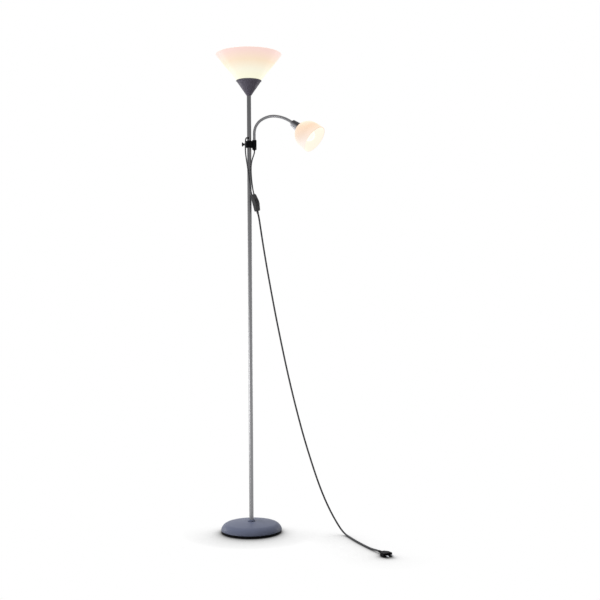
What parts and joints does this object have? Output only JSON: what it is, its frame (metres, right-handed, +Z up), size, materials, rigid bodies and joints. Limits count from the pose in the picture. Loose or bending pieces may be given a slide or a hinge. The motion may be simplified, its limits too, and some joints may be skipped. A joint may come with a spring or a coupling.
{
  "type": "torchiere floor lamp",
  "caption": "Torchiere floor lamp: weighted round base, slim pole, conical uplight shade, and a reading light on a bendable gooseneck clamped to the pole.",
  "frame": {"origin": "centre of the base's underside, on the floor", "axes": "+Z up along the pole; +X the side the reading light reaches to; -Y the front, the side the lamp is seen from"},
  "size_m": [0.6236, 0.5236, 1.801],
  "materials": {
    "base_paint": "satin",
    "pole_paint": "satin metallic",
    "felt": "matte",
    "black_plastic": "satin",
    "iron": "rough",
    "zinc_steel": "satin",
    "shade_plastic": "translucent white",
    "reading_plastic": "translucent white",
    "brass": "satin",
    "bulb_glass": "frosted",
    "lead_rubber": "satin",
    "chrome": "polished",
    "neck_chrome": "polished",
    "nickel": "polished"
  },
  "bodies": {
    "stand": {"base_shell": "base_paint", "base_pad": "felt", "base_cover": "black_plastic", "base_weight": "iron", "foot_nut": "zinc_steel", "foot_stud": "zinc_steel", "base_collar": "base_paint", "pole_section_1": "pole_paint", "pole_section_2": "pole_paint", "pole_section_3": "pole_paint", "pole_section_4": "pole_paint", "pole_inserts": "zinc_steel", "pole_couplers": "zinc_steel", "top_nipple": "zinc_steel", "uplight_cup": "base_paint", "cup_nut": "zinc_steel", "uplight_shade": "shade_plastic", "uplight_holder": "black_plastic", "uplight_sleeve": "brass", "uplight_ring": "black_plastic", "uplight_bulb_cap": "brass", "uplight_bulb": "bulb_glass", "pole_grommet": "black_plastic", "pole_flex": "lead_rubber", "switch_back": "black_plastic", "switch_front": "black_plastic", "rocker_pin": "zinc_steel", "switch_screws": "zinc_steel", "switch_terminals": "brass", "switch_reliefs": "lead_rubber", "plug_body": "black_plastic", "plug_pins": "nickel", "uplight_lead": "lead_rubber", "reading_lead": "lead_rubber", "main_lead": "lead_rubber"},
    "liner": {"clamp_liner": "black_plastic"},
    "clamp": {"clamp_body": "black_plastic", "clamp_insert": "brass", "lead_outlet": "black_plastic", "neck_ferrule": "chrome", "neck_link_1": "neck_chrome", "neck_wire": "lead_rubber"},
    "knob": {"clamp_knob": "black_plastic", "knob_screw": "zinc_steel"},
    "neck_2": {"neck_link_2": "neck_chrome"},
    "neck_3": {"neck_link_3": "neck_chrome"},
    "neck_4": {"neck_link_4": "neck_chrome"},
    "neck_5": {"neck_link_5": "neck_chrome"},
    "neck_6": {"neck_link_6": "neck_chrome"},
    "neck_7": {"neck_link_7": "neck_chrome"},
    "head": {"neck_link_8": "neck_chrome", "head_cap": "chrome", "head_ferrule": "chrome", "reading_shade": "reading_plastic", "reading_holder": "black_plastic", "reading_ring": "black_plastic", "reading_bulb_cap": "brass", "reading_bulb": "bulb_glass"},
    "uplight_key": {"uplight_rocker": "black_plastic"},
    "reading_key": {"reading_rocker": "black_plastic"}
  },
  "joints": [
    {"name": "clamp_height", "type": "slide", "parent": "stand", "child": "liner", "axis": [0, 0, 1], "range_m": [-0.06, 0.005], "deforming": ["reading_lead"]},
    {"name": "clamp_swivel", "type": "hinge", "parent": "liner", "child": "clamp", "pos_m": [0, 0, 1.46175], "axis": [0, 0, 1], "range_deg": [-75, 15], "deforming": ["reading_lead"]},
    {"name": "clamp_knob_turn", "type": "hinge", "parent": "clamp", "child": "knob", "pos_m": [-0.022, 0, 1.46175], "axis": [1, 0, 0], "range_deg": [-360, 0]},
    {"name": "neck_bend_1", "type": "hinge", "parent": "clamp", "child": "neck_2", "pos_m": [0.0196, 0, 1.499], "axis": [0.454, 0.891, 0], "range_deg": [-16, 12], "deforming": ["neck_wire"]},
    {"name": "neck_side_1", "type": "hinge", "parent": "neck_2", "child": "neck_3", "pos_m": [0.02593, -0.00323, 1.5294], "axis": [-0.7731, 0.3939, 0.4972], "range_deg": [-20, 20], "deforming": ["neck_wire"]},
    {"name": "neck_bend_2", "type": "hinge", "parent": "neck_3", "child": "neck_4", "pos_m": [0.04616, -0.01353, 1.55079], "axis": [0.454, 0.891, 0], "range_deg": [-16, 12], "deforming": ["neck_wire"]},
    {"name": "neck_side_2", "type": "hinge", "parent": "neck_4", "child": "neck_5", "pos_m": [0.07291, -0.02716, 1.56034], "axis": [-0.1302, 0.0663, 0.9893], "range_deg": [-20, 20], "deforming": ["neck_wire"]},
    {"name": "neck_bend_3", "type": "hinge", "parent": "neck_5", "child": "neck_6", "pos_m": [0.10098, -0.04147, 1.5599], "axis": [0.454, 0.891, 0], "range_deg": [-16, 12], "deforming": ["neck_wire"]},
    {"name": "neck_side_3", "type": "hinge", "parent": "neck_6", "child": "neck_7", "pos_m": [0.12817, -0.05532, 1.5517], "axis": [0.3157, -0.1609, 0.9351], "range_deg": [-20, 20], "deforming": ["neck_wire"]},
    {"name": "neck_bend_4", "type": "hinge", "parent": "neck_7", "child": "head", "pos_m": [0.15337, -0.06816, 1.53763], "axis": [0.454, 0.891, 0], "range_deg": [-16, 12], "deforming": ["neck_wire"]},
    {"name": "uplight_switch", "type": "hinge", "parent": "stand", "child": "uplight_key", "pos_m": [0.02462, -0.02925, 1.23968], "axis": [0.6593, 0.7323, 0.1705], "range_deg": [-14, 0]},
    {"name": "reading_switch", "type": "hinge", "parent": "stand", "child": "reading_key", "pos_m": [0.03016, -0.0231, 1.24111], "axis": [0.6593, 0.7323, 0.1705], "range_deg": [-14, 0]}
  ],
  "couplings": [
    {"joint": "neck_bend_2", "follows": "neck_bend_1", "ratio": 1},
    {"joint": "neck_side_2", "follows": "neck_side_1", "ratio": 1},
    {"joint": "neck_bend_3", "follows": "neck_bend_1", "ratio": 1},
    {"joint": "neck_side_3", "follows": "neck_side_1", "ratio": 1},
    {"joint": "neck_bend_4", "follows": "neck_bend_1", "ratio": 1}
  ]
}
